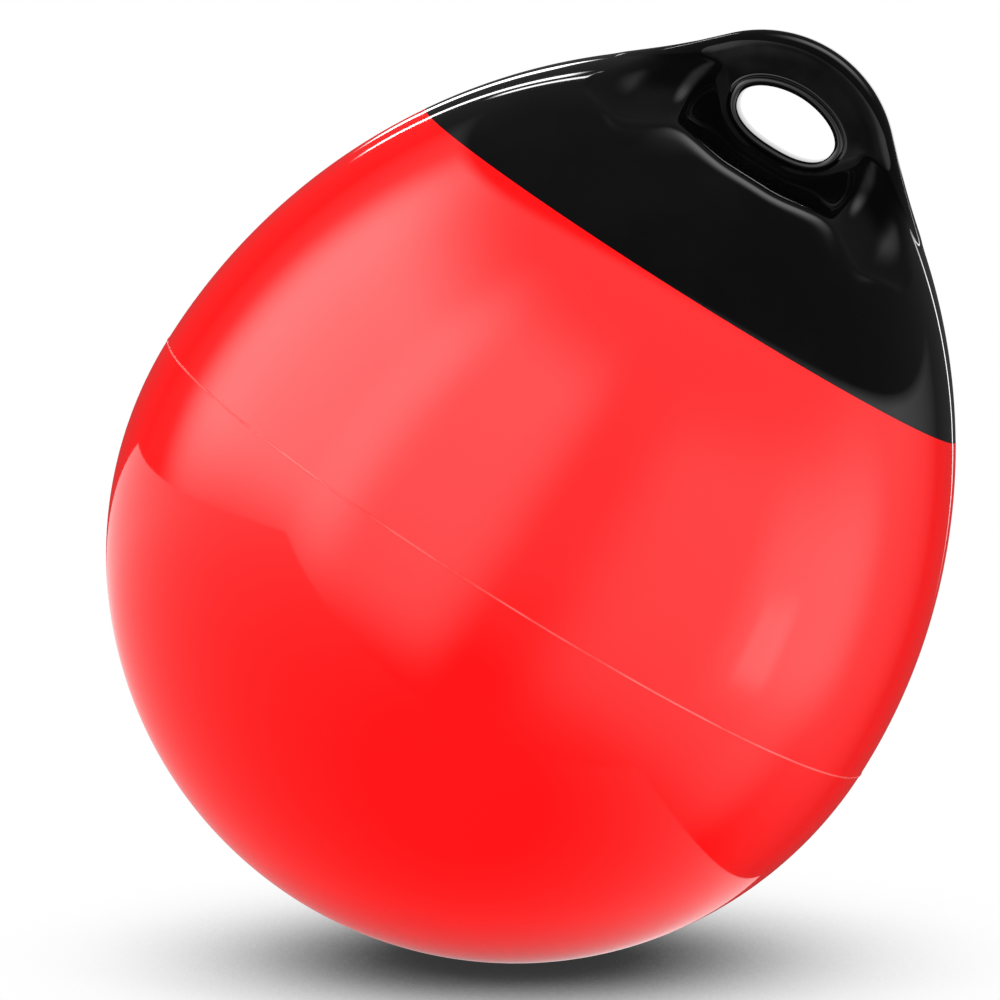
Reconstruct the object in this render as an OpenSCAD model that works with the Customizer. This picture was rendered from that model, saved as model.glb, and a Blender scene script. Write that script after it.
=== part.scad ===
// Round inflatable buoy with a moulded rope eye, in millimetres.
// It is drawn about its own axis, heights counted from the seam up to the eye.
// stance() then leans it and sets the waterline at z = 0.

/* [Stance] */
// Angle of the axis from upright, toward +X
lean = 32; // [0:1:60]
// Turn of the eye about the buoy's own axis
turn = -5; // [-45:1:45]
// Depth of the lowest point below the waterline
draft = 70; // [45:1:110]

/* [Body] */
// Diameter at the seam
body_d = 380; // [350:1:405]
// Radius of the curve from the seam up to the eye
shoulder_r = 286; // [272:1:294]
// Wall of the two shells
shell_wall = 3; // [2.4:0.1:5]
// Width of the bead along the seam
seam_w = 1.2; // [0.8:0.1:2.4]
// Depth of the bead in the shells
seam_deep = 1.4; // [0.8:0.1:2.2]

/* [Rope hold] */
// Height of the colour line above the seam
line_h = 154; // [140:1:165]
// Wall of the hollow part of the rope hold
hold_wall = 5; // [4:0.5:8]
// Height of the pocket floors above the seam
floor_h = 211; // [206:1:216]
// Solid thickness under the pocket floors
root_t = 10; // [8:1:18]
// Width of each pocket
pocket_w = 116; // [100:1:124]
// Fillet between a pocket's floor and the eye plate
floor_fillet = 16; // [8:1:20]
// Fillet in a pocket's corners, seen from above
corner_fillet = 36; // [12:1:44]
// Fillet at the ends of a pocket's floor
end_fillet = 34; // [12:1:40]

/* [Eye] */
// Radius of the crown of the eye
crown_r = 62; // [58:1:66]
// Height of the crown's centre above the pocket floors
crown_up = 4; // [2:1:8]
// Slope of the plate's straight sides
side_angle = 45; // [42:1:48]
// Thickness of the eye plate
plate_t = 44; // [38:1:52]
// Rounding of the plate's edge
edge_r = 16; // [8:1:18]
// Clear width of the hole
hole_w = 50; // [42:1:56]
// Clear height of the hole
hole_t = 26; // [22:1:32]
// Height of the hole's centre above the crown's centre
hole_up = 23; // [19:1:26]
// Wall of the ring that lines the hole
ring_t = 4.5; // [3:0.5:6]
// How far the ring stands out of the plate
ring_out = 2; // [0.5:0.5:4]

/* [Valve] */
// Height of the valve above the seam
valve_h = 182; // [172:1:188]
// Diameter of the valve's flange
flange_d = 24; // [20:1:30]
// Thickness of the flange
flange_t = 2.5; // [2:0.5:4]
// Depth of the flange's seat below the surface
seat_deep = 1.8; // [1:0.1:2.6]
// Diameter of the valve's barrel
barrel_d = 14; // [12:1:16]
// Length of the barrel
barrel_l = 14; // [10:1:20]
// Diameter of the plug's shank
plug_d = 8; // [6:0.5:9]
// Length of the plug's shank
plug_l = 11; // [8:1:14]
// Diameter of the plug's head
head_d = 15; // [13:0.5:18]
// Thickness of the plug's head
head_t = 3; // [2:0.5:5]
// Width of the slot in the plug's head
slot_w = 2; // [1.5:0.1:3]
// Depth of the slot in the plug's head
slot_deep = 1.5; // [1:0.1:1.8]
// Thickness of the washer under the head
washer_t = 1.2; // [0.8:0.1:2]

/* [Fits] */
// Gap all round a piece that sits in a hole
fit_gap = 0.15; // [0.05:0.05:0.4]

/* [Hidden] */
$fn = 120;
body_r = body_d / 2;
// The shoulder's curve is an arc whose centre lies beyond the axis.
shoulder_x = body_r - shoulder_r;
cavity_top = floor_h - root_t;
crown_h = floor_h + crown_up;
hole_h = crown_h + hole_up;
pocket_face = plate_t / 2;
// The shoulder's solid runs up inside the eye plate, to the top of the hole.
core_top = hole_h + hole_t / 2;
eye_foot = floor_h - root_t / 2;
ring_l = plate_t + 2 * ring_out;
// The hole's oval has two end arcs and two side arcs. Their centres make right triangles with these
// sides, and the arcs meet on the triangles' long sides, so they run smoothly into each other.
oval_shares = [3, 4, 5];
oval_unit = (hole_w - hole_t) / 4;
oval_end_x = oval_shares[0] * oval_unit;
oval_side_y = oval_shares[1] * oval_unit;
oval_end_r = hole_t / 2 - oval_unit;
oval_side_r = oval_end_r + oval_shares[2] * oval_unit;
valve_slope = asin(valve_h / shoulder_r);
valve_r = shoulder_r * cos(valve_slope) + shoulder_x;
RED = [0.86, 0.03, 0.03];
BLACK = [0.05, 0.05, 0.055];
GREY = [0.30, 0.31, 0.32];
WHITE = [0.86, 0.86, 0.84];

// From the buoy's own axis to the waterline frame.
module stance() {
    translate([0, 0, body_r - draft])
        rotate([0, lean, 0])
            rotate([0, 0, turn])
                children();
}

// The shoulder's skin as a flat section, from its inside radius out.
module shoulder_section(inner_r, foot, top) {
    intersection() {
        translate([shoulder_x, 0])
            difference() {
                circle(r = shoulder_r);
                if (inner_r > 0)
                    circle(r = inner_r);
            }
        translate([0, foot])
            square([body_d, top - foot]);
    }
}

// The half of the seam's groove that one shell carries, side +1 or -1.
module seam_groove(side) {
    translate([body_r - seam_deep, side > 0 ? 0 : -seam_w / 2])
        square([shell_wall, seam_w / 2]);
}

module lower_shell() {
    color(RED)
        stance()
            rotate_extrude()
                difference() {
                    intersection() {
                        difference() {
                            circle(r = body_r);
                            circle(r = body_r - shell_wall);
                        }
                        translate([0, -body_r])
                            square([body_r, body_r]);
                    }
                    seam_groove(-1);
                }
}

module upper_shell() {
    color(RED)
        stance()
            rotate_extrude()
                difference() {
                    shoulder_section(shoulder_r - shell_wall, 0, line_h);
                    seam_groove(1);
                }
}

// Weld bead that fills the groove and stands a little proud.
module seam_bead() {
    color(RED)
        stance()
            rotate_extrude() {
                translate([body_r - seam_deep, -seam_w / 2])
                    square([seam_deep, seam_w]);
                translate([body_r, 0])
                    circle(d = seam_w);
            }
}

// Flat section of the eye plate, from the crown's centre out to the edge.
module plate_section() {
    translate([0, -plate_t / 2])
        square([crown_r - edge_r, plate_t]);
    translate([0, edge_r - plate_t / 2])
        square([crown_r, plate_t - 2 * edge_r]);
    for (side = [-1, 1])
        translate([crown_r - edge_r, side * (plate_t / 2 - edge_r)])
            circle(r = edge_r);
}

// Crown over the hole and the two straight sides that run down into the shoulder.
module eye_plate() {
    intersection() {
        translate([0, 0, crown_h])
            rotate([90, 0, 0]) {
                rotate([0, 0, side_angle])
                    rotate_extrude(angle = 180 - 2 * side_angle)
                        intersection() {
                            plate_section();
                            translate([0, -plate_t / 2])
                                square([crown_r, plate_t]);
                        }
                for (side = [0, 1])
                    mirror([side, 0, 0])
                        rotate([0, 0, side_angle])
                            rotate([90, 0, 0])
                                linear_extrude(height = crown_r)
                                    plate_section();
            }
        translate([-body_r, -plate_t, eye_foot])
            cube([body_d, 2 * plate_t, body_d]);
    }
}

// Flat shape as wide as a pocket, open upward, with its two lower corners rounded.
module rounded_foot(foot, fillet) {
    translate([-pocket_w / 2, foot + fillet])
        square([pocket_w, body_r]);
    translate([fillet - pocket_w / 2, foot])
        square([pocket_w - 2 * fillet, body_r]);
    for (side = [-1, 1])
        translate([side * (pocket_w / 2 - fillet), foot + fillet])
            circle(r = fillet);
}

// Space beside the eye plate, cut into the shoulder at front or back.
module pocket() {
    intersection() {
        rotate([90, 0, 90])
            linear_extrude(height = pocket_w, center = true) {
                translate([pocket_face + floor_fillet, floor_h])
                    square([body_r, body_r]);
                translate([pocket_face, floor_h + floor_fillet])
                    square([body_r, body_r]);
                translate([pocket_face + floor_fillet, floor_h + floor_fillet])
                    circle(r = floor_fillet);
            }
        linear_extrude(height = body_d)
            rounded_foot(pocket_face, corner_fillet);
        rotate([90, 0, 180])
            linear_extrude(height = body_r)
                rounded_foot(floor_h, end_fillet);
    }
}

// The hole's oval, larger by grow all round.
module oval(grow) {
    end_r = oval_end_r + grow;
    side_r = oval_side_r + grow;
    join_x = oval_end_x + end_r * oval_shares[0] / oval_shares[2];
    intersection() {
        translate([0, oval_side_y])
            circle(r = side_r);
        translate([0, -oval_side_y])
            circle(r = side_r);
        translate([-join_x, -side_r])
            square([2 * join_x, 2 * side_r]);
    }
    for (side = [0, 1])
        mirror([side, 0])
            intersection() {
                translate([oval_end_x, 0])
                    circle(r = end_r);
                translate([join_x, -side_r])
                    square([side_r, 2 * side_r]);
            }
}

// From the shoulder's surface at the valve, with +Z straight out of it.
module at_valve() {
    translate([0, valve_r, valve_h])
        rotate([valve_slope - 90, 0, 0])
            children();
}

module rope_hold() {
    color(BLACK)
        stance()
            difference() {
                union() {
                    difference() {
                        rotate_extrude()
                            shoulder_section(0, line_h, core_top);
                        for (side = [0, 1])
                            mirror([0, side, 0])
                                pocket();
                    }
                    eye_plate();
                }
                rotate_extrude()
                    intersection() {
                        translate([shoulder_x, 0])
                            circle(r = shoulder_r - hold_wall);
                        square([body_d, cavity_top]);
                    }
                translate([0, 0, hole_h])
                    rotate([90, 0, 0])
                        linear_extrude(height = 2 * plate_t, center = true)
                            oval(ring_t + fit_gap);
                at_valve() {
                    translate([0, 0, -seat_deep])
                        cylinder(d = flange_d + 2 * fit_gap, h = 2 * flange_t);
                    translate([0, 0, -2 * barrel_l])
                        cylinder(d = barrel_d + 2 * fit_gap, h = 2 * barrel_l);
                }
            }
}

// Wall of the eye's ring with both its ends rounded, starting at radius in_r.
module ring_section(in_r) {
    translate([in_r, (ring_t - ring_l) / 2])
        square([ring_t, ring_l - ring_t]);
    for (side = [-1, 1])
        translate([in_r + ring_t / 2, side * (ring_l - ring_t) / 2])
            circle(d = ring_t);
}

// Piece of the ring over one arc: a full turn of the wall, cut by the wedge between two rays.
module ring_arc(in_r, ray_a, ray_b) {
    reach = 2 * (in_r + ring_t);
    intersection() {
        rotate_extrude()
            ring_section(in_r);
        linear_extrude(height = 2 * ring_l, center = true)
            polygon([[0, 0], reach * ray_a, reach * ray_b]);
    }
}

module eye_ring() {
    wide = oval_shares[0];
    high = oval_shares[1];
    color(BLACK)
        stance()
            translate([0, 0, hole_h])
                rotate([90, 0, 0])
                    for (side = [0, 180])
                        rotate([0, 0, side]) {
                            translate([oval_end_x, 0, 0])
                                ring_arc(oval_end_r, [wide, -high], [wide, high]);
                            translate([0, -oval_side_y, 0])
                                ring_arc(oval_side_r, [wide, high], [-wide, high]);
                        }
}

module valve_body() {
    color(GREY)
        stance()
            at_valve()
                translate([0, 0, -seat_deep])
                    difference() {
                        union() {
                            cylinder(d = flange_d, h = flange_t);
                            translate([0, 0, -barrel_l])
                                cylinder(d = barrel_d, h = barrel_l);
                        }
                        translate([0, 0, -plug_l])
                            cylinder(d = plug_d + 2 * fit_gap, h = plug_l + 2 * flange_t);
                    }
}

module valve_washer() {
    color(BLACK)
        stance()
            at_valve()
                translate([0, 0, flange_t - seat_deep])
                    difference() {
                        cylinder(d = head_d, h = washer_t);
                        translate([0, 0, -washer_t])
                            cylinder(d = plug_d + 2 * fit_gap, h = 3 * washer_t);
                    }
}

module valve_plug() {
    color(WHITE)
        stance()
            at_valve()
                translate([0, 0, flange_t + washer_t - seat_deep])
                    difference() {
                        union() {
                            cylinder(d = head_d, h = head_t);
                            translate([0, 0, -plug_l])
                                cylinder(d = plug_d, h = plug_l);
                        }
                        translate([-head_d, -slot_w / 2, head_t - slot_deep])
                            cube([2 * head_d, slot_w, head_t]);
                    }
}

lower_shell();
upper_shell();
seam_bead();
rope_hold();
eye_ring();
valve_body();
valve_washer();
valve_plug();
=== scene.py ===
import math

import bmesh
import bpy
import numpy as np
from mathutils import Matrix, Vector


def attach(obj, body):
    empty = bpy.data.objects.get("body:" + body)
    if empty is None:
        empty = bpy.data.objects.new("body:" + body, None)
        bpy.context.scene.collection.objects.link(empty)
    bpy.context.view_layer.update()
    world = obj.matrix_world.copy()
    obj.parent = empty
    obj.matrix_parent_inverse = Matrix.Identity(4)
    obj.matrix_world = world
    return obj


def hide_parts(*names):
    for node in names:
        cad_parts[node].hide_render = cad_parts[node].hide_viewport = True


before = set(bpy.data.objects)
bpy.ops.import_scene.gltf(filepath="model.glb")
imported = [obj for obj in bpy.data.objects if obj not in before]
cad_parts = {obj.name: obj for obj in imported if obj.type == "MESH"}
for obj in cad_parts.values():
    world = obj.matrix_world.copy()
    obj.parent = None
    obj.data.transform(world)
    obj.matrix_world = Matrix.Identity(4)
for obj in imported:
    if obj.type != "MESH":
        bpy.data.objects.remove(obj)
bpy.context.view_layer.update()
scene = bpy.context.scene

# Sizes are in millimetres about the buoy's own axis, heights counted from the seam up to the eye.
MM = 0.001
LEAN, TURN, DRAFT = 32.0, -5.0, 70.0
BODY_R, SHOULDER_R = 190.0, 286.0
SHOULDER_X = BODY_R - SHOULDER_R
SHELL_WALL, HOLD_WALL = 3.0, 5.0
LINE_H, LINE_GAP = 154.0, 0.05
FLOOR_H, ROOT_T, FLARE = 211.0, 10.0, 38.0
CROWN_R, CROWN_H = 62.0, 215.0
PLATE_HALF, EDGE_R = 22.0, 12.0
HOLE_H, RING_T, RING_OUT = 238.0, 4.5, 2.0
HOLE_A, HOLE_B = 25.0, 13.0
BODY_Z = (BODY_R - DRAFT) * MM
UPRIGHT = Matrix.Translation((0, 0, BODY_Z)) @ Matrix.Rotation(math.radians(LEAN), 4, "Y")
STANCE = UPRIGHT @ Matrix.Rotation(math.radians(TURN), 4, "Z")

# Camera at the photograph's viewing angle. The image's width at the buoy is in metres, and the body's
# centre stands right of and below the image's centre by so many of its 1000 pixels.
IMAGE_WIDTH, IMAGE_PIXELS = 0.4657, 1000
CAM_DIST = 3.22
CAM_ELEV = math.radians(7.05)
BODY_AT = (15.1, 54.5)


def make_camera():
    back = Vector((0, -math.cos(CAM_ELEV), math.sin(CAM_ELEV)))
    right = Vector((1, 0, 0))
    up = back.cross(right)
    pixel = IMAGE_WIDTH / IMAGE_PIXELS
    aim = Vector((0, 0, BODY_Z)) - right * BODY_AT[0] * pixel + up * BODY_AT[1] * pixel
    data = bpy.data.cameras.new("camera")
    data.sensor_width = 36
    data.lens = data.sensor_width * CAM_DIST / IMAGE_WIDTH
    data.clip_start, data.clip_end = 0.1, 100
    cam = bpy.data.objects.new("camera", data)
    cam.location = aim + back * CAM_DIST
    cam.rotation_euler = (-back).to_track_quat("-Z", "Y").to_euler()
    scene.collection.objects.link(cam)
    scene.camera = cam


make_camera()


# Node helpers.
def noise(tree, coords, scale, detail, rough):
    node = tree.nodes.new("ShaderNodeTexNoise")
    node.inputs["Scale"].default_value = scale
    node.inputs["Detail"].default_value = detail
    node.inputs["Roughness"].default_value = rough
    tree.links.new(coords, node.inputs["Vector"])
    return node.outputs["Fac"]


def remap(tree, value, low, high, to_low, to_high):
    node = tree.nodes.new("ShaderNodeMapRange")
    keys = ("From Min", "From Max", "To Min", "To Max")
    for key, number in zip(keys, (low, high, to_low, to_high)):
        node.inputs[key].default_value = number
    tree.links.new(value, node.inputs["Value"])
    return node.outputs["Result"]


def soft_step(tree, value, start, end, level=1.0):
    step = remap(tree, value, start, end, 0.0, level)
    step.node.interpolation_type = "SMOOTHERSTEP"
    return step


def two_tone(tree, value, colour_a, colour_b, low, high):
    ramp = tree.nodes.new("ShaderNodeValToRGB")
    for element, place, colour in zip(ramp.color_ramp.elements, (low, high), (colour_a, colour_b)):
        element.position = place
        element.color = (*colour, 1)
    tree.links.new(value, ramp.inputs["Fac"])
    return ramp.outputs["Color"]


def number_math(tree, operation, *values):
    node = tree.nodes.new("ShaderNodeMath")
    node.operation = operation
    for value, socket in zip(values, node.inputs):
        tree.links.new(value, socket)
    return node.outputs["Value"]


def add(tree, a, b):
    return number_math(tree, "ADD", a, b)


def times(tree, a, b):
    return number_math(tree, "MULTIPLY", a, b)


def vector_math(tree, operation, vector, other=None):
    node = tree.nodes.new("ShaderNodeVectorMath")
    node.operation = operation
    tree.links.new(vector, node.inputs[0])
    if other is not None:
        node.inputs[1].default_value = other
    return node.outputs["Value" if operation in ("DOT_PRODUCT", "DISTANCE") else "Vector"]


def dot(tree, vector, way):
    return vector_math(tree, "DOT_PRODUCT", vector, way)


def bump(tree, shader, height, strength, distance):
    node = tree.nodes.new("ShaderNodeBump")
    node.inputs["Strength"].default_value = strength
    node.inputs["Distance"].default_value = distance
    tree.links.new(height, node.inputs["Height"])
    tree.links.new(node.outputs["Normal"], shader.inputs["Normal"])


# Materials.
GLOSS, DULL_GLOSS = 0.6, 0.03
# Where the eye's dull patch starts and where it is full, in metres from the buoy's centre along its own
# axes: just under the plate's faces, and out to the ends of the pockets.
DULL_FACE, DULL_OUT = (0.0192, 0.0212), (0.062, 0.040)
DULL_SIDE, DULL_FOOT = (0.080, 0.056), (0.211, 0.221)


def node_material(name):
    mat = bpy.data.materials.new(name)
    mat.use_nodes = True
    tree = mat.node_tree
    coords = tree.nodes.new("ShaderNodeTexCoord")
    return mat, tree, tree.nodes["Principled BSDF"], coords.outputs["Object"]


def vinyl(name, tone_a, tone_b, coat_rough):
    """Soft moulded skin: a clear gloss over two tones in random patches, with a faint ripple. On the
    skins the two tones are near; on the weld the pale tone is a painted highlight.
    """
    mat, tree, shader, coords = node_material(name)
    patches = noise(tree, coords, scale=11, detail=5, rough=0.6)
    tone = two_tone(tree, patches, tone_a, tone_b, low=0.45, high=0.7)
    tree.links.new(tone, shader.inputs["Base Color"])
    cloud = noise(tree, coords, scale=21, detail=4, rough=0.6)
    tree.links.new(remap(tree, cloud, 0.3, 0.7, 0.25, 0.4), shader.inputs["Roughness"])
    shader.inputs["Specular IOR Level"].default_value = 0.0
    shader.inputs["Coat Weight"].default_value = GLOSS
    shader.inputs["Coat Roughness"].default_value = coat_rough
    ripple = noise(tree, coords, scale=260, detail=2, rough=0.5)
    bump(tree, shader, ripple, strength=0.03, distance=0.0004)
    return mat


def dull_faces(mat):
    """Takes the gloss off the eye's flat faces and the pockets' ends, and leaves it on the edges."""
    tree = mat.node_tree
    coords = tree.nodes.new("ShaderNodeTexCoord").outputs["Object"]
    from_body = vector_math(tree, "SUBTRACT", coords, (0, 0, BODY_Z))
    x, y, z = (
        number_math(tree, "ABSOLUTE", dot(tree, from_body, STANCE.col[axis].to_3d())) for axis in range(3)
    )
    face = soft_step(tree, y, *DULL_FACE)
    for value, (start, end) in ((y, DULL_OUT), (x, DULL_SIDE), (z, DULL_FOOT)):
        face = times(tree, face, soft_step(tree, value, start, end))
    cloud = noise(tree, coords, scale=30, detail=4, rough=0.6)
    face = times(tree, face, remap(tree, cloud, 0.3, 0.7, 0.85, 1.0))
    gloss = remap(tree, face, 0, 1, GLOSS, DULL_GLOSS)
    tree.links.new(gloss, tree.nodes["Principled BSDF"].inputs["Coat Weight"])


def moulded(name, tone_a, tone_b, rough_low, rough_high, grain):
    """Satin nylon or rubber with a fine grain."""
    mat, tree, shader, coords = node_material(name)
    specks = noise(tree, coords, scale=160, detail=4, rough=0.6)
    tone = two_tone(tree, specks, tone_a, tone_b, low=0.35, high=0.65)
    tree.links.new(tone, shader.inputs["Base Color"])
    cloud = noise(tree, coords, scale=300, detail=4, rough=0.6)
    tree.links.new(remap(tree, cloud, 0.3, 0.7, rough_low, rough_high), shader.inputs["Roughness"])
    bump(tree, shader, noise(tree, coords, grain, detail=3, rough=0.6), strength=0.25, distance=0.0002)
    return mat


BLACK_TONES = (0.0016, 0.0016, 0.0018), (0.0034, 0.0034, 0.0036)
RED = vinyl("red_vinyl", (0.94, 0.004, 0.005), (0.90, 0.0036, 0.0045), 0.05)
# The weld's pale tone, in patches along the seam, is a painted highlight that stands for the light the
# bead's ridge catches; under it the weld is red.
WELD_WITH_PAINTED_HIGHLIGHT = vinyl("red_weld_painted_highlight", (0.93, 0.02, 0.02), (1.0, 0.17, 0.16), 0.08)
BLACK = vinyl("black_vinyl", *BLACK_TONES, 0.035)
HOLD = vinyl("black_hold", *BLACK_TONES, 0.035)
dull_faces(HOLD)
GREY = moulded("grey_nylon", (0.085, 0.09, 0.095), (0.11, 0.115, 0.12), 0.35, 0.5, 1800)
WHITE = moulded("white_nylon", (0.66, 0.66, 0.63), (0.74, 0.74, 0.71), 0.3, 0.45, 1800)
RUBBER = moulded("black_rubber", (0.014, 0.014, 0.014), (0.022, 0.022, 0.022), 0.55, 0.7, 2600)


# Mesh helpers. Meshes are made in the buoy's own frame and then take the stance.
def make_piece(name, verts, faces, material, node):
    mesh = bpy.data.meshes.new(name)
    mesh.from_pydata([tuple(v) for v in np.asarray(verts) * MM], [], faces)
    return finish_piece(name, mesh, material, node)


def finish_piece(name, mesh, material, node):
    mesh.validate()
    mesh.polygons.foreach_set("use_smooth", [True] * len(mesh.polygons))
    mesh.materials.append(material)
    mesh.transform(STANCE)
    piece = bpy.data.objects.new(name, mesh)
    scene.collection.objects.link(piece)
    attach(piece, "root")
    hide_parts(node)
    return piece


def sharpen(mesh, degrees):
    mesh.set_sharp_from_angle(angle=math.radians(degrees))


def swell(x, y, z):
    """Slight unevenness of the inflated skin, outward, in mm."""
    a = np.arctan2(y, x)
    return (
        0.22 * np.sin(2 * a + 0.7) * np.cos(z / 95)
        + 0.16 * np.sin(3 * a - z / 60 + 1.9)
        + 0.10 * np.sin(5 * a + z / 41 + 0.3)
    )


def revolve(profile, count, skin):
    """Faces turned from a profile about the axis. Its first skin points swell."""
    verts, faces, rings = [], [], []
    turns = np.arange(count) * 2 * math.pi / count
    for k, (r, z) in enumerate(profile):
        if r < 1e-6:
            rings.append([len(verts)] * count)
            verts.append((0, 0, z))
            continue
        x, y = r * np.cos(turns), r * np.sin(turns)
        if k < skin:
            grow = 1 + swell(x, y, z) / math.hypot(r, z)
            x, y = x * grow, y * grow
        rings.append(list(range(len(verts), len(verts) + count)))
        verts.extend(zip(x, y, np.full(count, z)))
    for low, high in zip(rings, rings[1:]):
        for i in range(count):
            j = (i + 1) % count
            corners = [low[i], low[j], high[j], high[i]]
            faces.append(list(dict.fromkeys(corners)))
    return verts, faces


def loop_faces(count, around):
    """Quads of a closed ring of count sections with around points each."""
    faces = []
    for i in range(count):
        for k in range(around):
            n, m = (i + 1) % count, (k + 1) % around
            faces.append((i * around + k, n * around + k, n * around + m, i * around + m))
    return faces


def arc(cx, cz, r, start, end, count):
    turns = np.radians(np.linspace(start, end, count))
    return list(zip(cx + r * np.cos(turns), cz + r * np.sin(turns)))


# The two red shells and the weld bead between them.
SEAM_HALF, SEAM_ROOT, SEAM_SINK = 0.45, 1.3, 0.02
SEAM_TURNS, SEAM_AROUND = 720, 14
TURNS = 288
SHELL_SHARP, HOLD_SHARP = 40, 50


def slope(height, radius):
    """Angle in degrees at which an arc of that radius reaches that height."""
    return math.degrees(math.asin(height / radius))


def lower_shell():
    edge = slope(SEAM_HALF / 2, BODY_R)
    inner_r = BODY_R - SHELL_WALL
    outer = arc(0, 0, BODY_R, -90, -edge, 96)
    inner = [(inner_r, -SEAM_HALF / 2)] + arc(0, 0, inner_r, -1, -90, 24)
    outer[0], inner[-1] = (0, -BODY_R), (0, SHELL_WALL - BODY_R)
    verts, faces = revolve(outer + inner, TURNS, len(outer))
    piece = make_piece("red_lower_shell", verts, faces, RED, "lower_shell")
    sharpen(piece.data, SHELL_SHARP)


def upper_shell():
    edge = slope(SEAM_HALF / 2, SHOULDER_R)
    inner_r = SHOULDER_R - SHELL_WALL
    outer = arc(SHOULDER_X, 0, SHOULDER_R, edge, slope(LINE_H - LINE_GAP, SHOULDER_R), 72)
    inner = arc(SHOULDER_X, 0, inner_r, slope(LINE_H - LINE_GAP, inner_r), edge, 24)
    loop = outer + inner
    verts, faces = revolve(loop + [loop[0]], TURNS, len(outer))
    # The last ring is the first one again.
    last = len(verts) - TURNS
    faces = [[i - last if i >= last else i for i in face] for face in faces]
    piece = make_piece("red_upper_shell", verts[:last], faces, RED, "upper_shell")
    sharpen(piece.data, SHELL_SHARP)


def seam_bead():
    """Thin flash line of the weld: its height and place vary a little along the seam."""
    verts = []
    for i in range(SEAM_TURNS):
        a = 2 * math.pi * i / SEAM_TURNS
        c, s = math.cos(a), math.sin(a)
        base = BODY_R + float(swell(np.array(c), np.array(s), 0.0))
        high = 0.32 + 0.08 * math.sin(7 * a + 0.4) + 0.06 * math.sin(23 * a + 1.2)
        high += 0.04 * math.sin(61 * a)
        shift = 0.10 * math.sin(5 * a + 2.0) + 0.05 * math.sin(37 * a)
        for k in range(SEAM_AROUND):
            b = 2 * math.pi * k / SEAM_AROUND
            out = math.cos(b)
            r = base + (high * out if out > 0 else SEAM_ROOT * out) - SEAM_SINK
            verts.append((r * c, r * s, SEAM_HALF * math.sin(b) + shift * max(out, 0)))
    faces = loop_faces(SEAM_TURNS, SEAM_AROUND)
    # The bead's pale patches are a painted highlight.
    make_piece("red_seam_bead", verts, faces, WELD_WITH_PAINTED_HIGHLIGHT, "seam_bead")


# The rope hold as a distance field, with soft blends where the moulding flows together. A triple is an
# amount that comes in between two distances from the middle, toward the legs.
PLATE_FOOT, FOOT_BLEND = 203, 8
WAIST, WAIST_TOP, WAIST_FOOT = 12, 226, 208
LIP_RISE, LIP_DROOP = (3.4, 10, 41), (10, 42, 68)
FILLET_POWER, POWER_FADE, POWER_RANGE = 6.5, 0.19, (10, 52)
FACE_SINK, MIN_EDGE = 0.3, 30
POCKET_END = (30, 84, 100)
LIP_BLEND, LIP_SOFTER, LIP_TIGHTER = 8, (8, 34, 56), (11, 58, 84)
ROOT_BLEND, ROOT_SOFTER = 2, (5, 40, 60)
RING_BITE, HOLE_BLEND = 0.6, 2.0
OVAL_TOP, OVAL_FOOT = 1.9, 2.4


def soft_min(a, b, k):
    h = np.maximum(k - np.abs(a - b), 0) / k
    return np.minimum(a, b) - h * h * h * k / 6


def soft_max(a, b, k):
    return -soft_min(-a, -b, k)


def ease(low, high, value):
    t = np.clip((value - low) / (high - low), 0, 1)
    return t * t * (3 - 2 * t)


def grows(ax, amount, start, end):
    return amount * ease(start, end, ax)


def rounded(u, v, r):
    """Distance to a corner region u < 0 and v < 0 whose corner is rounded by r."""
    u, v = u + r, v + r
    return np.minimum(np.maximum(u, v), 0) + np.hypot(np.maximum(u, 0), np.maximum(v, 0)) - r


def oval_power(z):
    """The hole is a little fuller below its middle than above."""
    return np.where(z > 0, OVAL_TOP, OVAL_FOOT)


def oval_distance(x, z):
    p = oval_power(z)
    shape = (np.abs(x / HOLE_A) ** p + np.abs(z / HOLE_B) ** p + 1e-9) ** (1 / p)
    size = np.hypot(x, z)
    return size - size / shape


def hold_distance(x, y, z):
    ax, ay = np.abs(x), np.abs(y)
    ogive = np.hypot(np.hypot(x, y) - SHOULDER_X, z) - SHOULDER_R - swell(x, y, z)
    # The eye plate: a round crown on straight flanks, drawn in at its waist.
    up = z - CROWN_H
    outline = np.where(ax <= up, np.hypot(x, up), (ax + up) * math.sqrt(0.5)) - CROWN_R
    inset = WAIST * ease(-WAIST_TOP, -WAIST_FOOT, -z)
    plate = soft_max(rounded(outline + inset, ay - PLATE_HALF, EDGE_R), PLATE_FOOT - z, FOOT_BLEND)
    # Each pocket has a flat floor and a tight fillet in the middle. Toward the legs its section opens
    # into a long flare that runs out in the shoulder, and its lip droops there.
    lip = FLOOR_H + grows(ax, *LIP_RISE) - grows(ax, *LIP_DROOP)
    reach = np.sqrt(SHOULDER_R**2 - lip * lip) + SHOULDER_X
    edge = np.sqrt(np.maximum(reach * reach - x * x, MIN_EDGE**2))
    power = FILLET_POWER * POWER_FADE ** ease(*POWER_RANGE, ax)
    rise = np.maximum(1 - (z - lip) / FLARE, 0)
    run = np.maximum(1 - (ay - PLATE_HALF + FACE_SINK) / (edge - PLATE_HALF + FACE_SINK), 0)
    section = (rise**power + run**power) ** (1 / power)
    pocket = FLARE * (section - 1) + grows(ax, *POCKET_END)
    lip_blend = LIP_BLEND + grows(ax, *LIP_SOFTER) - grows(ax, *LIP_TIGHTER)
    base = soft_max(ogive, -pocket, lip_blend)
    hull = soft_min(base, plate, ROOT_BLEND + grows(ax, *ROOT_SOFTER))
    hole = oval_distance(x, z - HOLE_H) - RING_T + RING_BITE
    return soft_max(hull, -hole, HOLE_BLEND)


def gradient(f, p, h=0.05):
    g = np.empty_like(p)
    for k in range(3):
        d = np.zeros(3)
        d[k] = h
        g[:, k] = (f(*(p + d).T) - f(*(p - d).T)) / (2 * h)
    return g


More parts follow.
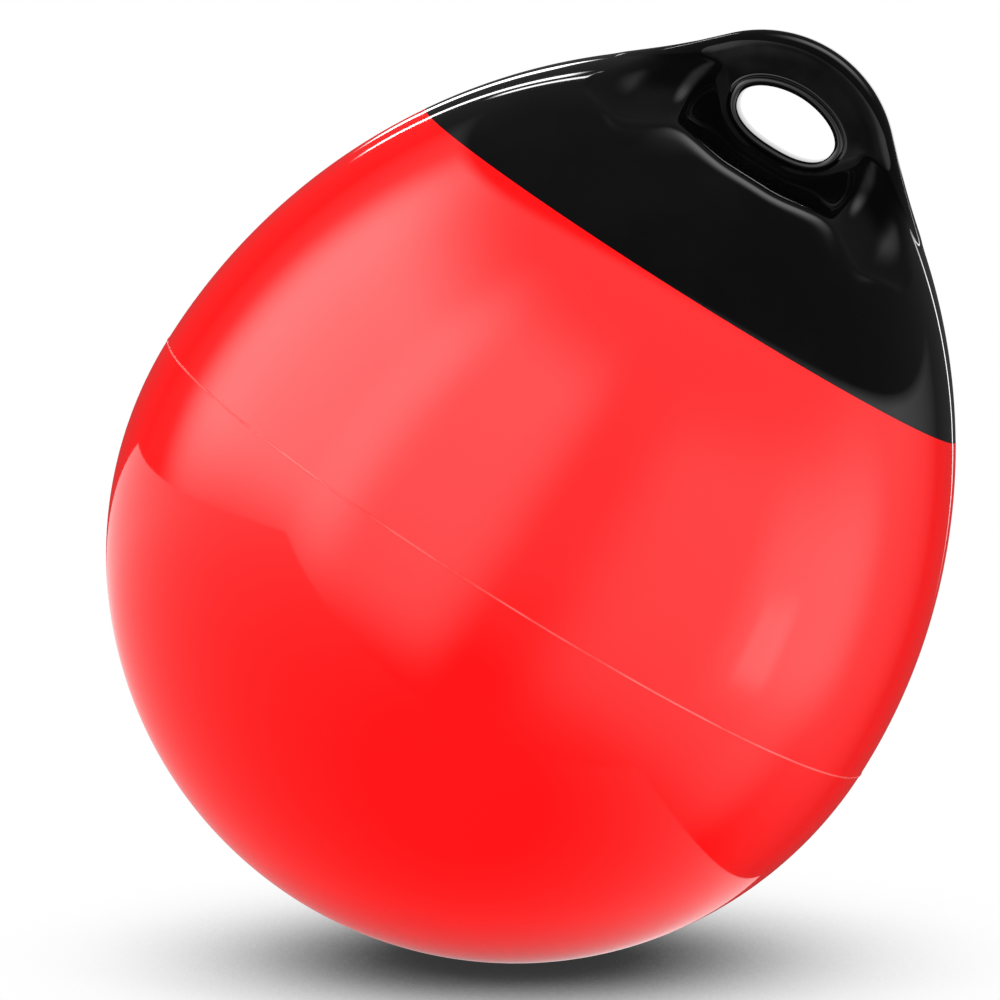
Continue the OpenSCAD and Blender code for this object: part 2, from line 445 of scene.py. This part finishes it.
def onto_surface(f, p, rounds=3):
    for _ in range(rounds):
        g = gradient(f, p)
        p = p - (f(*p.T) / np.maximum((g * g).sum(1), 0.05))[:, None] * g
    return p


CORNERS = np.array([(i, j, k) for i in (0, 1) for j in (0, 1) for k in (0, 1)])
CELL_EDGES = [
    (a, b) for a in range(8) for b in range(a + 1, 8) if np.abs(CORNERS[a] - CORNERS[b]).sum() == 1
]


def surface_net(f, low, high, step):
    """Quads around the surface f = 0, with a corner in each grid cell that it crosses."""
    axes = [np.arange(lo, hi + step / 2, step) for lo, hi in zip(low, high)]
    grid = f(*np.meshgrid(*axes, indexing="ij", sparse=True))
    inside = grid < 0
    cells = tuple(n - 1 for n in inside.shape)
    full = np.zeros(cells, np.int8)
    for i, j, k in CORNERS:
        full += inside[i : i + cells[0], j : j + cells[1], k : k + cells[2]]
    mixed = np.argwhere((full > 0) & (full < 8))
    number = np.full(cells, -1)
    number[tuple(mixed.T)] = np.arange(len(mixed))
    value = np.stack([grid[tuple((mixed + c).T)] for c in CORNERS], 1)
    total, hits = np.zeros((len(mixed), 3)), np.zeros(len(mixed))
    for a, b in CELL_EDGES:
        va, vb = value[:, a], value[:, b]
        cross = (va < 0) != (vb < 0)
        t = np.where(cross, va / np.where(cross, va - vb, 1), 0)
        total += np.where(cross[:, None], CORNERS[a] + t[:, None] * (CORNERS[b] - CORNERS[a]), 0)
        hits += cross
    points = np.array(low) + step * (mixed + total / hits[:, None])
    quads = []
    for axis in range(3):
        u, v = (axis + 1) % 3, (axis + 2) % 3
        near = [slice(None)] * 3
        far = [slice(None)] * 3
        near[axis], far[axis] = slice(0, -1), slice(1, None)
        start, end = inside[tuple(near)], inside[tuple(far)]
        spots = np.argwhere(start != end)
        fits = np.all([(spots[:, w] > 0) & (spots[:, w] < inside.shape[w] - 1) for w in (u, v)], 0)
        spots = spots[fits]
        ring = []
        for du, dv in ((-1, -1), (0, -1), (0, 0), (-1, 0)):
            cell = spots.copy()
            cell[:, u] += du
            cell[:, v] += dv
            ring.append(number[tuple(cell.T)])
        quad = np.stack(ring, 1)
        leaving = start[tuple(spots.T)]
        quads.append(np.where(leaving[:, None], quad, quad[:, ::-1]))
    return points, np.concatenate(quads)


KEEP, MOVE = 0.4, 0.6


def relax(f, points, quads, rounds):
    """Evens out the corners along the surface."""
    a, b = quads.ravel(), np.roll(quads, -1, 1).ravel()
    for _ in range(rounds):
        total, hits = np.zeros_like(points), np.zeros(len(points))
        for p, q in ((a, b), (b, a)):
            np.add.at(total, p, points[q])
            np.add.at(hits, p, 1)
        points = onto_surface(f, KEEP * points + MOVE * total / hits[:, None], 2)
    return points


def put_in_order(mesh):
    """Gives corners and faces a fixed order, because bmesh's own order changes from run to run."""
    points = np.empty(len(mesh.vertices) * 3, np.float32)
    mesh.vertices.foreach_get("co", points)
    points = points.reshape(-1, 3)
    order = np.lexsort(points.T)
    rank = np.empty(len(order), int)
    rank[order] = np.arange(len(order))
    faces = []
    for polygon in mesh.polygons:
        corners = rank[list(polygon.vertices)].tolist()
        first = corners.index(min(corners))
        faces.append(corners[first:] + corners[:first])
    mesh.clear_geometry()
    mesh.from_pydata(points[order].tolist(), [], sorted(faces))


NET_REACH, NET_MARGIN = 150.0, 4
NET_STEP = 2 * NET_REACH / 222
HOLLOW_HEIGHTS = (LINE_H, 166, 178, 190, FLOOR_H - ROOT_T)


def rope_hold():
    low = (-NET_REACH, -NET_REACH, LINE_H - NET_MARGIN)
    high = (NET_REACH, NET_REACH, CROWN_H + CROWN_R + NET_MARGIN)
    points, quads = surface_net(hold_distance, low, high, NET_STEP)
    points = relax(hold_distance, onto_surface(hold_distance, points), quads, 3)
    mesh = bpy.data.meshes.new("black_rope_hold")
    mesh.from_pydata([tuple(p) for p in points * MM], [], quads.tolist())
    bm = bmesh.new()
    bm.from_mesh(mesh)
    bmesh.ops.bisect_plane(
        bm,
        geom=[*bm.verts, *bm.edges, *bm.faces],
        dist=1e-7,
        plane_co=(0, 0, LINE_H * MM),
        plane_no=(0, 0, -1),
        clear_outer=True,
    )
    rim = [e for e in bm.edges if e.is_boundary]
    # The hollow under the eye: in along the foot, up the wall, and closed under the root.
    for z in HOLLOW_HEIGHTS:
        grown = bmesh.ops.extrude_edge_only(bm, edges=rim)["geom"]
        rim = [g for g in grown if isinstance(g, bmesh.types.BMEdge)]
        r = math.sqrt((SHOULDER_R - HOLD_WALL) ** 2 - z * z) + SHOULDER_X
        for v in {v for e in rim for v in e.verts}:
            a = math.atan2(v.co.y, v.co.x)
            v.co = (r * MM * math.cos(a), r * MM * math.sin(a), z * MM)
    cap = bmesh.ops.contextual_create(bm, geom=rim)["faces"]
    for v in bmesh.ops.poke(bm, faces=cap)["verts"]:
        v.co = (0, 0, HOLLOW_HEIGHTS[-1] * MM)
    bmesh.ops.recalc_face_normals(bm, faces=bm.faces)
    bm.to_mesh(mesh)
    bm.free()
    put_in_order(mesh)
    finish_piece("black_rope_hold", mesh, HOLD, "rope_hold")
    sharpen(mesh, HOLD_SHARP)


BEAD_R = 2.1
# The thin flange round the bead: how far out from the hole's wall, and how high from the bead's top.
FLANGE = [(4.35, -1.45), (4.75, -1.2), (5.4, -1.2), (5.75, -1.45), (5.85, -2.1), (RING_T, -3.4)]
OVAL_TURNS = 240


def oval_path(count):
    """Points and outward directions along the hole's oval."""
    t = np.arange(count) * 2 * math.pi / count
    c, d = np.cos(t), np.sin(t)
    p = oval_power(d)
    x = HOLE_A * np.sign(c) * np.abs(c) ** (2 / p)
    z = HOLE_B * np.sign(d) * np.abs(d) ** (2 / p)
    out_x = np.sign(x) * np.abs(x / HOLE_A) ** (p - 1) / HOLE_A
    out_z = np.sign(z) * np.abs(z / HOLE_B) ** (p - 1) / HOLE_B
    out = np.stack([out_x, out_z], 1)
    return np.stack([x, z], 1), out / np.linalg.norm(out, axis=1)[:, None]


def eye_ring():
    """Lining of the hole: a straight wall, and at each face a rounded bead with a flange round it."""
    half = PLATE_HALF + RING_OUT
    section = arc(BEAD_R, half - BEAD_R, BEAD_R, 180, 12, 15)
    section += [(d, half + h) for d, h in FLANGE]
    section += [(d, -h) for d, h in reversed(section)]
    verts = []
    for (px, pz), (ox, oz) in zip(*oval_path(OVAL_TURNS)):
        for d, h in section:
            verts.append((px + ox * d, h, HOLE_H + pz + oz * d))
    faces = loop_faces(OVAL_TURNS, len(section))
    piece = make_piece("black_eye_ring", verts, faces, BLACK, "eye_ring")
    bm = bmesh.new()
    bm.from_mesh(piece.data)
    bmesh.ops.recalc_face_normals(bm, faces=bm.faces)
    bm.to_mesh(piece.data)
    bm.free()


lower_shell()
upper_shell()
seam_bead()
rope_hold()
eye_ring()

# The valve keeps its CAD shapes.
for node, material in (("valve_body", GREY), ("valve_washer", RUBBER), ("valve_plug", WHITE)):
    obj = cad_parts[node]
    obj.data.materials.clear()
    obj.data.materials.append(material)


# Floor, background and studio light, in metres.
FLOOR_SIZE, FLOOR_CORNERS = 1.15, 96
FLOOR_TONE = (0.9, 0.9, 0.9, 1)
SHADE_REACH, SHADE_SAMPLES = 0.6, 16
SHADE_RANGE = (0.07, 0.77, 0.034, 1.0)
WORLD_LIGHT, ROOM_DARK = 0.95, 0.10
ROOM_R = 9
CARD_DIST = 3.0
# Ranges of a direction's height or depth, and the levels at their two ends: the walls below and above
# the buoy's middle, their fade toward the back, and the dark ceiling, which slopes down behind the buoy.
WALL_LOW, WALL_HIGH = (-0.42, 0.06, 0.0, 0.80), (0.06, 0.86, 0.0, 0.48)
WALL_BACK = (0.35, 0.75, 1.0, 0.0)
CEILING_WAY, CEILING = (0, 0.38, 1), (0.675, 0.70, 1.0, 0.0)
# Azimuth, the widths to each side at which it starts and is full, the heights between which it rises
# and falls, all in degrees, and its level.
ROOM_LIGHTS = [
    (-84, (46, 8), (-40, -2, 18, 50), 4.7),
    (-34, (36, 4), (-46, -16, 28, 52), 2.25),
    (58, (52, 20), (-46, -4, 26, 52), 1.1),
    (84, (30, 6), (-8, 8, 16, 42), 1.4),
    (74, (8, 2), (-2, 4, 9, 18), 1.5),
]
# The table's left, right, front and back edge and its height, the middle of the buoy's shade on it, and
# the distances from there and the levels between which it brightens.
TABLE_SIDES, TABLE_Z = (-0.49, 0.41, -0.335, 0.47), -0.196
TABLE_SHADE, TABLE_RANGE = (0.06, -0.25, 0), (0.10, 0.55, 0.12, 1.3)
EYE_CARD, EYE_CARD_BACK, EYE_CARD_LEVEL, EYE_CARD_SOFT = (0.14, 0.12), 0.2, 1.4, 0.1


def link_stage(name, mesh):
    obj = bpy.data.objects.new(name, mesh)
    scene.collection.objects.link(obj)
    return obj


def flat_mesh(name, corners, material):
    mesh = bpy.data.meshes.new(name)
    mesh.from_pydata(corners, [], [list(range(len(corners)))])
    mesh.materials.append(material)
    return mesh


def make_floor():
    """Pale floor. The camera sees it white, darker where the buoy keeps the light from it."""
    mat, tree, shader, _ = node_material("floor")
    shader.inputs["Base Color"].default_value = FLOOR_TONE
    shader.inputs["Roughness"].default_value = 0.9
    shader.inputs["Specular IOR Level"].default_value = 0.1
    near = tree.nodes.new("ShaderNodeAmbientOcclusion")
    near.inputs["Distance"].default_value = SHADE_REACH
    near.samples = SHADE_SAMPLES
    light = tree.nodes.new("ShaderNodeEmission")
    shade = remap(tree, near.outputs["AO"], *SHADE_RANGE)
    shade.node.interpolation_type = "SMOOTHSTEP"
    tree.links.new(shade, light.inputs["Strength"])
    path = tree.nodes.new("ShaderNodeLightPath")
    mix = tree.nodes.new("ShaderNodeMixShader")
    tree.links.new(path.outputs["Is Camera Ray"], mix.inputs["Fac"])
    tree.links.new(shader.outputs[0], mix.inputs[1])
    tree.links.new(light.outputs[0], mix.inputs[2])
    tree.links.new(mix.outputs[0], tree.nodes["Material Output"].inputs["Surface"])
    turns = np.arange(FLOOR_CORNERS) * 2 * math.pi / FLOOR_CORNERS
    rim = [(FLOOR_SIZE * math.cos(a), FLOOR_SIZE * math.sin(a), -DRAFT * MM) for a in turns]
    floor = link_stage("floor", flat_mesh("floor", rim, mat))
    floor.visible_glossy = False


def make_world():
    world = bpy.data.worlds.new("studio")
    scene.world = world
    world.use_nodes = True
    tree = world.node_tree
    back = tree.nodes["Background"]
    path = tree.nodes.new("ShaderNodeLightPath")
    seen = add(tree, path.outputs["Is Camera Ray"], path.outputs["Is Transmission Ray"])
    seen = add(tree, seen, path.outputs["Is Glossy Ray"])
    tree.links.new(remap(tree, seen, 0, 1, WORLD_LIGHT, 1.0), back.inputs["Strength"])
    back.inputs["Color"].default_value = (1, 1, 1, 1)


def reflector(name, mesh, place):
    """A part of the studio that shows in the gloss and nowhere else."""
    obj = link_stage(name, mesh)
    obj.matrix_world = place
    for kind in ("camera", "diffuse", "transmission", "volume_scatter", "shadow"):
        setattr(obj, "visible_" + kind, False)


def light_material(name):
    """Material that only gives off light, with its coordinates."""
    mat = bpy.data.materials.new(name)
    mat.use_nodes = True
    tree = mat.node_tree
    tree.nodes.clear()
    out = tree.nodes.new("ShaderNodeOutputMaterial")
    light = tree.nodes.new("ShaderNodeEmission")
    tree.links.new(light.outputs[0], out.inputs["Surface"])
    return mat, tree, light, tree.nodes.new("ShaderNodeTexCoord").outputs


def soft_card(name, level, across, along, axes="XY"):
    """Clear card that gives off up to that level, and fades over those shares toward its edges."""
    mat, tree, light, coords = light_material(name)
    parts = tree.nodes.new("ShaderNodeSeparateXYZ")
    tree.links.new(coords["Generated"], parts.inputs[0])
    mask = None
    for axis, soft in zip(axes, (across, along)):
        for start, end in ((0, soft), (1, 1 - soft)):
            edge = soft_step(tree, parts.outputs[axis], start, end)
            mask = edge if mask is None else times(tree, mask, edge)
    tree.links.new(remap(tree, mask, 0, 1, 0, level), light.inputs["Strength"])
    clear = tree.nodes.new("ShaderNodeBsdfTransparent")
    both = tree.nodes.new("ShaderNodeAddShader")
    tree.links.new(clear.outputs[0], both.inputs[0])
    tree.links.new(light.outputs[0], both.inputs[1])
    tree.links.new(both.outputs[0], tree.nodes["Material Output"].inputs["Surface"])
    return mat


def toward(azimuth, elevation):
    """Direction from the buoy, about its own axis; azimuth 0 is toward the viewer."""
    a, e = math.radians(azimuth), math.radians(elevation)
    return Vector((math.sin(a) * math.cos(e), -math.cos(a) * math.cos(e), math.sin(e)))


def card(name, azimuth, elevation, wide, high, level, across=0.5, along=0.5):
    """Reflector seen from the buoy in that direction about its own axis, sizes in degrees."""
    way = toward(azimuth, elevation)
    w, h = (2 * CARD_DIST * math.tan(math.radians(v) / 2) for v in (wide, high))
    corners = [(-w / 2, -h / 2, 0), (w / 2, -h / 2, 0), (w / 2, h / 2, 0), (-w / 2, h / 2, 0)]
    tilt = (-way).to_track_quat("Z", "Y").to_matrix().to_4x4()
    place = UPRIGHT @ Matrix.Translation(way * CARD_DIST) @ tilt
    reflector(name, flat_mesh(name, corners, soft_card(name, level, across, along)), place)


def room():
    """Surroundings that the gloss shows: dim walls with soft lights, and a dark ceiling and back."""
    mat, tree, light, coords = light_material("room")
    way = vector_math(tree, "NORMALIZE", coords["Object"])
    height = dot(tree, way, (0, 0, 1))
    wall = add(tree, remap(tree, height, *WALL_LOW), remap(tree, height, *WALL_HIGH))
    wall = times(tree, wall, remap(tree, dot(tree, way, (0, 1, 0)), *WALL_BACK))
    level_way = vector_math(tree, "NORMALIZE", vector_math(tree, "MULTIPLY", way, (1, 1, 0)))
    for azimuth, wide, high, level in ROOM_LIGHTS:
        near, full = (math.cos(math.radians(v)) for v in wide)
        low_out, low_in, top_in, top_out = (math.sin(math.radians(v)) for v in high)
        side = soft_step(tree, dot(tree, level_way, toward(azimuth, 0)), near, full, level)
        side = times(tree, side, soft_step(tree, height, low_out, low_in))
        wall = add(tree, wall, times(tree, side, soft_step(tree, height, top_out, top_in)))
    wall = times(tree, wall, remap(tree, dot(tree, way, CEILING_WAY), *CEILING))
    lit = remap(tree, wall, 0, 1, ROOM_DARK, 1 + ROOM_DARK)
    lit.node.clamp = False
    tree.links.new(lit, light.inputs["Strength"])
    bm = bmesh.new()
    bmesh.ops.create_icosphere(bm, subdivisions=4, radius=ROOM_R)
    mesh = bpy.data.meshes.new("room")
    bm.to_mesh(mesh)
    bm.free()
    mesh.materials.append(mat)
    reflector("room", mesh, UPRIGHT)


def table():
    """Pale table under the buoy as the gloss shows it, dark where the buoy shades it."""
    mat, tree, light, coords = light_material("table")
    gap = vector_math(tree, "DISTANCE", coords["Object"], TABLE_SHADE)
    tree.links.new(remap(tree, gap, *TABLE_RANGE), light.inputs["Strength"])
    left, right, front, back = TABLE_SIDES
    corners = [(left, front, 0), (right, front, 0), (right, back, 0), (left, back, 0)]
    reflector("table", flat_mesh("table", corners, mat), UPRIGHT @ Matrix.Translation((0, 0, TABLE_Z)))


def behind_eye():
    """The white background as the wall of the hole shows it."""
    w, h = (v / 2 for v in EYE_CARD)
    corners = [(-w, 0, -h), (w, 0, -h), (w, 0, h), (-w, 0, h)]
    mat = soft_card("behind_eye", EYE_CARD_LEVEL, EYE_CARD_SOFT, EYE_CARD_SOFT, "XZ")
    place = STANCE @ Matrix.Translation((0, EYE_CARD_BACK, HOLE_H * MM))
    reflector("behind_eye", flat_mesh("behind_eye", corners, mat), place)


def softbox(name, place, size, power):
    data = bpy.data.lights.new(name, "AREA")
    data.shape = "RECTANGLE"
    data.size, data.size_y = size
    data.energy = power
    lamp = bpy.data.objects.new(name, data)
    lamp.location = place
    aim = Vector((0, 0, BODY_Z)) - Vector(place)
    lamp.rotation_euler = aim.to_track_quat("-Z", "Y").to_euler()
    scene.collection.objects.link(lamp)
    lamp.visible_glossy = False


# The gloss shows a studio that stands square to the buoy's own axis, as in the photograph.
make_floor()
make_world()
room()
table()
card("overhead", 180, 72, 60, 34, 3.2)
card("left_strip_a", -167, 10, 4, 13, 9, 0.2, 0.15)
card("left_strip_b", -156, 17.5, 2, 20, 11, 0.2, 0.15)
card("left_strip_c", -152.5, 26.5, 1.4, 13, 10, 0.2, 0.2)
card("right_strip", 158, 12, 1.4, 26, 5.5, 0.3, 0.4)
behind_eye()
softbox("overhead_lamp", (0, 0, 1.7), (0.9, 0.9), 6)
softbox("key_lamp", (-1.6, -1.6, 1.5), (1.0, 1.0), 8)
softbox("fill_lamp", (0, -2.0, 0.2), (2.4, 0.5), 14)
scene.view_settings.view_transform = "Standard"

bpy.context.view_layer.update()
